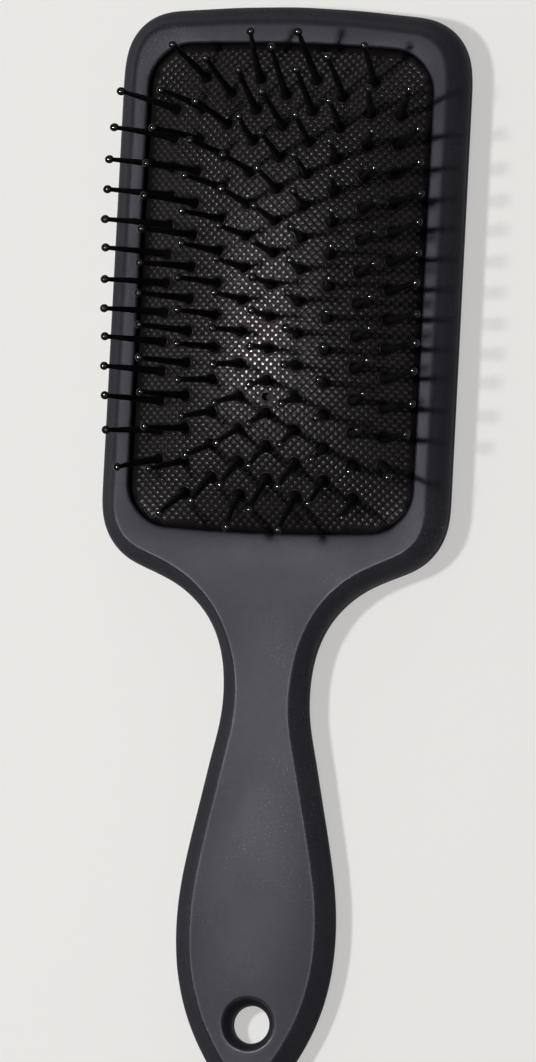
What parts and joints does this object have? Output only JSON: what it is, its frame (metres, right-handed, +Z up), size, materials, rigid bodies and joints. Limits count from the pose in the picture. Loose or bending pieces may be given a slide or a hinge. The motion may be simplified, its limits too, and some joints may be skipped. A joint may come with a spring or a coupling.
{
  "type": "paddle hair brush",
  "caption": "Large cushioned paddle hair brush: two-shell body with a countersunk hang hole, domed rubber air cushion and rows of ball-tipped pins that rock.",
  "frame": {"origin": "under the middle of the brush, on the flat of its back, as it lies with the pins up", "axes": "+Y along the brush from handle to head, +X across the head, +Z up out of the pins"},
  "size_m": [0.0852, 0.261, 0.0472],
  "materials": {
    "front_shell": "soft-touch matte charcoal black",
    "rear_shell": "soft-touch matte charcoal black",
    "tray": "moulded matte black",
    "cushion": "satin black rubber with raised dots",
    "pins": "glossy black nylon"
  },
  "bodies": {
    "handle": {"front_shell": "front_shell", "rear_shell": "rear_shell", "cushion_tray": "tray"},
    "cushion": {"air_cushion": "cushion"},
    "pin_row_left_4": {"pin_strip_left_4": "pins"},
    "pin_row_left_3": {"pin_strip_left_3": "pins"},
    "pin_row_left_2": {"pin_strip_left_2": "pins"},
    "pin_row_left_1": {"pin_strip_left_1": "pins"},
    "pin_row_center": {"pin_strip_center": "pins"},
    "pin_row_right_1": {"pin_strip_right_1": "pins"},
    "pin_row_right_2": {"pin_strip_right_2": "pins"},
    "pin_row_right_3": {"pin_strip_right_3": "pins"},
    "pin_row_right_4": {"pin_strip_right_4": "pins"}
  },
  "joints": [
    {"name": "cushion_press", "type": "slide", "parent": "handle", "child": "cushion", "axis": [0, 0, -1], "range_m": [0, 0.003], "stiffness_N_per_m": 3000, "deforming": ["air_cushion"]},
    {"name": "rock_left_4", "type": "hinge", "parent": "cushion", "child": "pin_row_left_4", "pos_m": [-0.02626, 0.0624, 0.01626], "axis": [0, 1, 0], "range_deg": [-8, 8], "stiffness_Nm_per_rad": 0.3},
    {"name": "rock_left_3", "type": "hinge", "parent": "cushion", "child": "pin_row_left_3", "pos_m": [-0.01983, 0.0624, 0.01855], "axis": [0, 1, 0], "range_deg": [-8, 8], "stiffness_Nm_per_rad": 0.3},
    {"name": "rock_left_2", "type": "hinge", "parent": "cushion", "child": "pin_row_left_2", "pos_m": [-0.01327, 0.0624, 0.02062], "axis": [0, 1, 0], "range_deg": [-8, 8], "stiffness_Nm_per_rad": 0.3},
    {"name": "rock_left_1", "type": "hinge", "parent": "cushion", "child": "pin_row_left_1", "pos_m": [-0.00671, 0.0624, 0.02099], "axis": [0, 1, 0], "range_deg": [-8, 8], "stiffness_Nm_per_rad": 0.3},
    {"name": "rock_center", "type": "hinge", "parent": "cushion", "child": "pin_row_center", "pos_m": [0, 0.0624, 0.02162], "axis": [0, 1, 0], "range_deg": [-8, 8], "stiffness_Nm_per_rad": 0.3},
    {"name": "rock_right_1", "type": "hinge", "parent": "cushion", "child": "pin_row_right_1", "pos_m": [0.00671, 0.0624, 0.02099], "axis": [0, 1, 0], "range_deg": [-8, 8], "stiffness_Nm_per_rad": 0.3},
    {"name": "rock_right_2", "type": "hinge", "parent": "cushion", "child": "pin_row_right_2", "pos_m": [0.01327, 0.0624, 0.02062], "axis": [0, 1, 0], "range_deg": [-8, 8], "stiffness_Nm_per_rad": 0.3},
    {"name": "rock_right_3", "type": "hinge", "parent": "cushion", "child": "pin_row_right_3", "pos_m": [0.01983, 0.0624, 0.01855], "axis": [0, 1, 0], "range_deg": [-8, 8], "stiffness_Nm_per_rad": 0.3},
    {"name": "rock_right_4", "type": "hinge", "parent": "cushion", "child": "pin_row_right_4", "pos_m": [0.02626, 0.0624, 0.01626], "axis": [0, 1, 0], "range_deg": [-8, 8], "stiffness_Nm_per_rad": 0.3}
  ]
}
